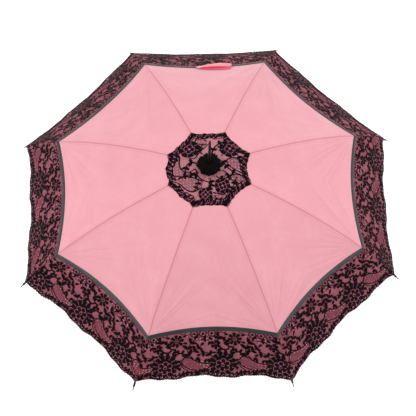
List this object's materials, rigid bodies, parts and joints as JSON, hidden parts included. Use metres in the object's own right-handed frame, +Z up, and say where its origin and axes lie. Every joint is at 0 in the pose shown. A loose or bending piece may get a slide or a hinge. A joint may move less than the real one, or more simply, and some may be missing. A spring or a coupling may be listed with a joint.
{
  "type": "lace parasol",
  "caption": "Open stick parasol with a domed pink cloth canopy, wide black lace border, lace cap, rosette, slim spike ferrule and a dark crook handle",
  "frame": {"origin": "on the stick's axis at the middle of the handle's straight grip, where a hand holds it", "axes": "+Z up the stick to the ferrule, +X towards the crook's free end, +Y to complete a right-handed frame; ribs at 22.5 degrees and every 45 degrees on"},
  "size_m": [0.8144, 0.8144, 0.7872],
  "materials": {
    "pink_cloth": "fine matt pongee weave, pale rose pink",
    "black_lace": "black corded floral lace on open net",
    "black_cloth": "gathered black organza over cloth",
    "pink_satin": "shiny salmon pink satin ribbon",
    "dark_lacquer": "dark red-brown lacquer over turned wood",
    "shaft_enamel": "black enamel on steel tube",
    "black_nylon": "moulded black nylon",
    "steel": "bright spring steel wire",
    "dark_steel": "black electroplated steel",
    "nickel": "nickel plate, lightly worn"
  },
  "bodies": {
    "stick": {"shaft": "shaft_enamel", "ferrule": "dark_lacquer", "crown": "black_nylon", "crown_ring": "steel", "stop_pin": "steel", "rosette": "black_cloth", "lace_cap": "black_lace", "handle": "dark_lacquer", "handle_collar": "nickel", "crook_end_cap": "nickel"},
    "rib_1": {"rib_1": "dark_steel", "rib_tip_1": "dark_steel"},
    "stretcher_1": {"stretcher_1": "dark_steel"},
    "gore_1_first_half": {"gore_1_first_half": "pink_cloth"},
    "gore_8_second_half": {"gore_8_second_half": "pink_cloth"},
    "rib_2": {"rib_2": "dark_steel", "rib_tip_2": "dark_steel"},
    "stretcher_2": {"stretcher_2": "dark_steel"},
    "gore_2_first_half": {"gore_2_first_half": "pink_cloth"},
    "gore_1_second_half": {"gore_1_second_half": "pink_cloth"},
    "rib_3": {"rib_3": "dark_steel", "rib_tip_3": "dark_steel"},
    "stretcher_3": {"stretcher_3": "dark_steel"},
    "gore_3_first_half": {"gore_3_first_half": "pink_cloth"},
    "gore_2_second_half": {"gore_2_second_half": "pink_cloth"},
    "rib_4": {"rib_4": "dark_steel", "rib_tip_4": "dark_steel"},
    "stretcher_4": {"stretcher_4": "dark_steel"},
    "gore_4_first_half": {"gore_4_first_half": "pink_cloth"},
    "gore_3_second_half": {"gore_3_second_half": "pink_cloth"},
    "rib_5": {"rib_5": "dark_steel", "rib_tip_5": "dark_steel"},
    "stretcher_5": {"stretcher_5": "dark_steel"},
    "gore_5_first_half": {"gore_5_first_half": "pink_cloth"},
    "gore_4_second_half": {"gore_4_second_half": "pink_cloth"},
    "rib_6": {"rib_6": "dark_steel", "rib_tip_6": "dark_steel"},
    "stretcher_6": {"stretcher_6": "dark_steel"},
    "gore_6_first_half": {"gore_6_first_half": "pink_cloth"},
    "gore_5_second_half": {"gore_5_second_half": "pink_cloth"},
    "rib_7": {"rib_7": "dark_steel", "rib_tip_7": "dark_steel"},
    "stretcher_7": {"stretcher_7": "dark_steel"},
    "gore_7_first_half": {"gore_7_first_half": "pink_cloth"},
    "gore_6_second_half": {"gore_6_second_half": "pink_cloth"},
    "rib_8": {"rib_8": "dark_steel", "rib_tip_8": "dark_steel"},
    "stretcher_8": {"stretcher_8": "dark_steel"},
    "gore_8_first_half": {"gore_8_first_half": "pink_cloth"},
    "gore_7_second_half": {"gore_7_second_half": "pink_cloth"},
    "runner": {"runner": "black_nylon", "runner_ring": "steel"},
    "top_catch": {"top_catch": "steel"},
    "bottom_catch": {"bottom_catch": "steel"},
    "closing_strap": {"closing_strap": "pink_satin", "strap_snap": "nickel"}
  },
  "joints": [
    {"name": "fold", "type": "hinge", "parent": "stick", "child": "rib_1", "pos_m": [0.00831, 0.00344, 0.57546], "axis": [-0.3827, 0.9239, 0], "range_deg": [0, 61.78], "deforming": ["gore_1_first_half", "gore_1_second_half", "gore_2_first_half", "gore_2_second_half", "gore_3_first_half", "gore_3_second_half", "gore_4_first_half", "gore_4_second_half", "gore_5_first_half", "gore_5_second_half", "gore_6_first_half", "gore_6_second_half", "gore_7_first_half", "gore_7_second_half", "gore_8_first_half", "gore_8_second_half", "top_catch", "bottom_catch", "lace_cap"]},
    {"name": "stretcher_1_swing", "type": "hinge", "parent": "rib_1", "child": "stretcher_1", "pos_m": [0.19436, 0.0805, 0.51446], "axis": [-0.3827, 0.9239, 0], "range_deg": [-123.57, 0]},
    {"name": "gore_1_first_fold", "type": "hinge", "parent": "rib_1", "child": "gore_1_first_half", "pos_m": [0.00689, 0.00689, 0.57546], "axis": [-0.079, -0.9613, -0.2638], "range_deg": [0, 29.12]},
    {"name": "gore_8_second_fold", "type": "hinge", "parent": "rib_1", "child": "gore_8_second_half", "pos_m": [0.00974, 0, 0.57546], "axis": [0.7356, -0.6239, 0.2638], "range_deg": [0, 29.12]},
    {"name": "rib_2_fold", "type": "hinge", "parent": "stick", "child": "rib_2", "pos_m": [0.00344, 0.00831, 0.57546], "axis": [-0.9239, 0.3827, 0], "range_deg": [0, 61.78]},
    {"name": "stretcher_2_swing", "type": "hinge", "parent": "rib_2", "child": "stretcher_2", "pos_m": [0.0805, 0.19436, 0.51446], "axis": [-0.9239, 0.3827, 0], "range_deg": [-123.57, 0]},
    {"name": "gore_2_first_fold", "type": "hinge", "parent": "rib_2", "child": "gore_2_first_half", "pos_m": [0, 0.00974, 0.57546], "axis": [0.6239, -0.7356, -0.2638], "range_deg": [0, 29.12]},
    {"name": "gore_1_second_fold", "type": "hinge", "parent": "rib_2", "child": "gore_1_second_half", "pos_m": [0.00689, 0.00689, 0.57546], "axis": [0.9613, 0.079, 0.2638], "range_deg": [0, 29.12]},
    {"name": "rib_3_fold", "type": "hinge", "parent": "stick", "child": "rib_3", "pos_m": [-0.00344, 0.00831, 0.57546], "axis": [-0.9239, -0.3827, 0], "range_deg": [0, 61.78]},
    {"name": "stretcher_3_swing", "type": "hinge", "parent": "rib_3", "child": "stretcher_3", "pos_m": [-0.0805, 0.19436, 0.51446], "axis": [-0.9239, -0.3827, 0], "range_deg": [-123.57, 0]},
    {"name": "gore_3_first_fold", "type": "hinge", "parent": "rib_3", "child": "gore_3_first_half", "pos_m": [-0.00689, 0.00689, 0.57546], "axis": [0.9613, -0.079, -0.2638], "range_deg": [0, 29.12]},
    {"name": "gore_2_second_fold", "type": "hinge", "parent": "rib_3", "child": "gore_2_second_half", "pos_m": [0, 0.00974, 0.57546], "axis": [0.6239, 0.7356, 0.2638], "range_deg": [0, 29.12]},
    {"name": "rib_4_fold", "type": "hinge", "parent": "stick", "child": "rib_4", "pos_m": [-0.00831, 0.00344, 0.57546], "axis": [-0.3827, -0.9239, 0], "range_deg": [0, 61.78]},
    {"name": "stretcher_4_swing", "type": "hinge", "parent": "rib_4", "child": "stretcher_4", "pos_m": [-0.19436, 0.0805, 0.51446], "axis": [-0.3827, -0.9239, 0], "range_deg": [-123.57, 0]},
    {"name": "gore_4_first_fold", "type": "hinge", "parent": "rib_4", "child": "gore_4_first_half", "pos_m": [-0.00974, 0, 0.57546], "axis": [0.7356, 0.6239, -0.2638], "range_deg": [0, 29.12]},
    {"name": "gore_3_second_fold", "type": "hinge", "parent": "rib_4", "child": "gore_3_second_half", "pos_m": [-0.00689, 0.00689, 0.57546], "axis": [-0.079, 0.9613, 0.2638], "range_deg": [0, 29.12]},
    {"name": "rib_5_fold", "type": "hinge", "parent": "stick", "child": "rib_5", "pos_m": [-0.00831, -0.00344, 0.57546], "axis": [0.3827, -0.9239, 0], "range_deg": [0, 61.78]},
    {"name": "stretcher_5_swing", "type": "hinge", "parent": "rib_5", "child": "stretcher_5", "pos_m": [-0.19436, -0.0805, 0.51446], "axis": [0.3827, -0.9239, 0], "range_deg": [-123.57, 0]},
    {"name": "gore_5_first_fold", "type": "hinge", "parent": "rib_5", "child": "gore_5_first_half", "pos_m": [-0.00689, -0.00689, 0.57546], "axis": [0.079, 0.9613, -0.2638], "range_deg": [0, 29.12]},
    {"name": "gore_4_second_fold", "type": "hinge", "parent": "rib_5", "child": "gore_4_second_half", "pos_m": [-0.00974, 0, 0.57546], "axis": [-0.7356, 0.6239, 0.2638], "range_deg": [0, 29.12]},
    {"name": "rib_6_fold", "type": "hinge", "parent": "stick", "child": "rib_6", "pos_m": [-0.00344, -0.00831, 0.57546], "axis": [0.9239, -0.3827, 0], "range_deg": [0, 61.78]},
    {"name": "stretcher_6_swing", "type": "hinge", "parent": "rib_6", "child": "stretcher_6", "pos_m": [-0.0805, -0.19436, 0.51446], "axis": [0.9239, -0.3827, 0], "range_deg": [-123.57, 0]},
    {"name": "gore_6_first_fold", "type": "hinge", "parent": "rib_6", "child": "gore_6_first_half", "pos_m": [0, -0.00974, 0.57546], "axis": [-0.6239, 0.7356, -0.2638], "range_deg": [0, 29.12]},
    {"name": "gore_5_second_fold", "type": "hinge", "parent": "rib_6", "child": "gore_5_second_half", "pos_m": [-0.00689, -0.00689, 0.57546], "axis": [-0.9613, -0.079, 0.2638], "range_deg": [0, 29.12]},
    {"name": "rib_7_fold", "type": "hinge", "parent": "stick", "child": "rib_7", "pos_m": [0.00344, -0.00831, 0.57546], "axis": [0.9239, 0.3827, 0], "range_deg": [0, 61.78]},
    {"name": "stretcher_7_swing", "type": "hinge", "parent": "rib_7", "child": "stretcher_7", "pos_m": [0.0805, -0.19436, 0.51446], "axis": [0.9239, 0.3827, 0], "range_deg": [-123.57, 0]},
    {"name": "gore_7_first_fold", "type": "hinge", "parent": "rib_7", "child": "gore_7_first_half", "pos_m": [0.00689, -0.00689, 0.57546], "axis": [-0.9613, 0.079, -0.2638], "range_deg": [0, 29.12]},
    {"name": "gore_6_second_fold", "type": "hinge", "parent": "rib_7", "child": "gore_6_second_half", "pos_m": [0, -0.00974, 0.57546], "axis": [-0.6239, -0.7356, 0.2638], "range_deg": [0, 29.12]},
    {"name": "rib_8_fold", "type": "hinge", "parent": "stick", "child": "rib_8", "pos_m": [0.00831, -0.00344, 0.57546], "axis": [0.3827, 0.9239, 0], "range_deg": [0, 61.78]},
    {"name": "stretcher_8_swing", "type": "hinge", "parent": "rib_8", "child": "stretcher_8", "pos_m": [0.19436, -0.0805, 0.51446], "axis": [0.3827, 0.9239, 0], "range_deg": [-123.57, 0]},
    {"name": "gore_8_first_fold", "type": "hinge", "parent": "rib_8", "child": "gore_8_first_half", "pos_m": [0.00974, 0, 0.57546], "axis": [-0.7356, -0.6239, -0.2638], "range_deg": [0, 29.12]},
    {"name": "gore_7_second_fold", "type": "hinge", "parent": "rib_8", "child": "gore_7_second_half", "pos_m": [0.00689, -0.00689, 0.57546], "axis": [0.079, -0.9613, 0.2638], "range_deg": [0, 29.12]},
    {"name": "runner_slide", "type": "hinge", "parent": "stretcher_1", "child": "runner", "pos_m": [0.00831, 0.00344, 0.45346], "axis": [-0.3827, 0.9239, 0], "range_deg": [0, 61.78]},
    {"name": "top_catch_press", "type": "hinge", "parent": "stick", "child": "top_catch", "pos_m": [0, -0.0018, 0.37886], "axis": [-1, 0, 0], "range_deg": [0, 4.52], "stiffness_Nm_per_rad": 0.05},
    {"name": "bottom_catch_press", "type": "hinge", "parent": "stick", "child": "bottom_catch", "pos_m": [0, -0.0018, 0.1991], "axis": [1, 0, 0], "range_deg": [0, 4.52], "stiffness_Nm_per_rad": 0.05},
    {"name": "strap_lift", "type": "hinge", "parent": "gore_2_first_half", "child": "closing_strap", "pos_m": [0.05939, 0.30992, 0.4486], "axis": [0.1519, 0.7929, -0.5901], "range_deg": [0, 80]}
  ],
  "couplings": [
    {"joint": "stretcher_1_swing", "follows": "fold", "ratio": -2},
    {"joint": "gore_1_first_fold", "follows": "fold", "ratio": 0.47136},
    {"joint": "gore_8_second_fold", "follows": "fold", "ratio": 0.47136},
    {"joint": "rib_2_fold", "follows": "fold", "ratio": 1},
    {"joint": "stretcher_2_swing", "follows": "fold", "ratio": -2},
    {"joint": "gore_2_first_fold", "follows": "fold", "ratio": 0.47136},
    {"joint": "gore_1_second_fold", "follows": "fold", "ratio": 0.47136},
    {"joint": "rib_3_fold", "follows": "fold", "ratio": 1},
    {"joint": "stretcher_3_swing", "follows": "fold", "ratio": -2},
    {"joint": "gore_3_first_fold", "follows": "fold", "ratio": 0.47136},
    {"joint": "gore_2_second_fold", "follows": "fold", "ratio": 0.47136},
    {"joint": "rib_4_fold", "follows": "fold", "ratio": 1},
    {"joint": "stretcher_4_swing", "follows": "fold", "ratio": -2},
    {"joint": "gore_4_first_fold", "follows": "fold", "ratio": 0.47136},
    {"joint": "gore_3_second_fold", "follows": "fold", "ratio": 0.47136},
    {"joint": "rib_5_fold", "follows": "fold", "ratio": 1},
    {"joint": "stretcher_5_swing", "follows": "fold", "ratio": -2},
    {"joint": "gore_5_first_fold", "follows": "fold", "ratio": 0.47136},
    {"joint": "gore_4_second_fold", "follows": "fold", "ratio": 0.47136},
    {"joint": "rib_6_fold", "follows": "fold", "ratio": 1},
    {"joint": "stretcher_6_swing", "follows": "fold", "ratio": -2},
    {"joint": "gore_6_first_fold", "follows": "fold", "ratio": 0.47136},
    {"joint": "gore_5_second_fold", "follows": "fold", "ratio": 0.47136},
    {"joint": "rib_7_fold", "follows": "fold", "ratio": 1},
    {"joint": "stretcher_7_swing", "follows": "fold", "ratio": -2},
    {"joint": "gore_7_first_fold", "follows": "fold", "ratio": 0.47136},
    {"joint": "gore_6_second_fold", "follows": "fold", "ratio": 0.47136},
    {"joint": "rib_8_fold", "follows": "fold", "ratio": 1},
    {"joint": "stretcher_8_swing", "follows": "fold", "ratio": -2},
    {"joint": "gore_8_first_fold", "follows": "fold", "ratio": 0.47136},
    {"joint": "gore_7_second_fold", "follows": "fold", "ratio": 0.47136},
    {"joint": "runner_slide", "follows": "fold", "ratio": 1}
  ]
}
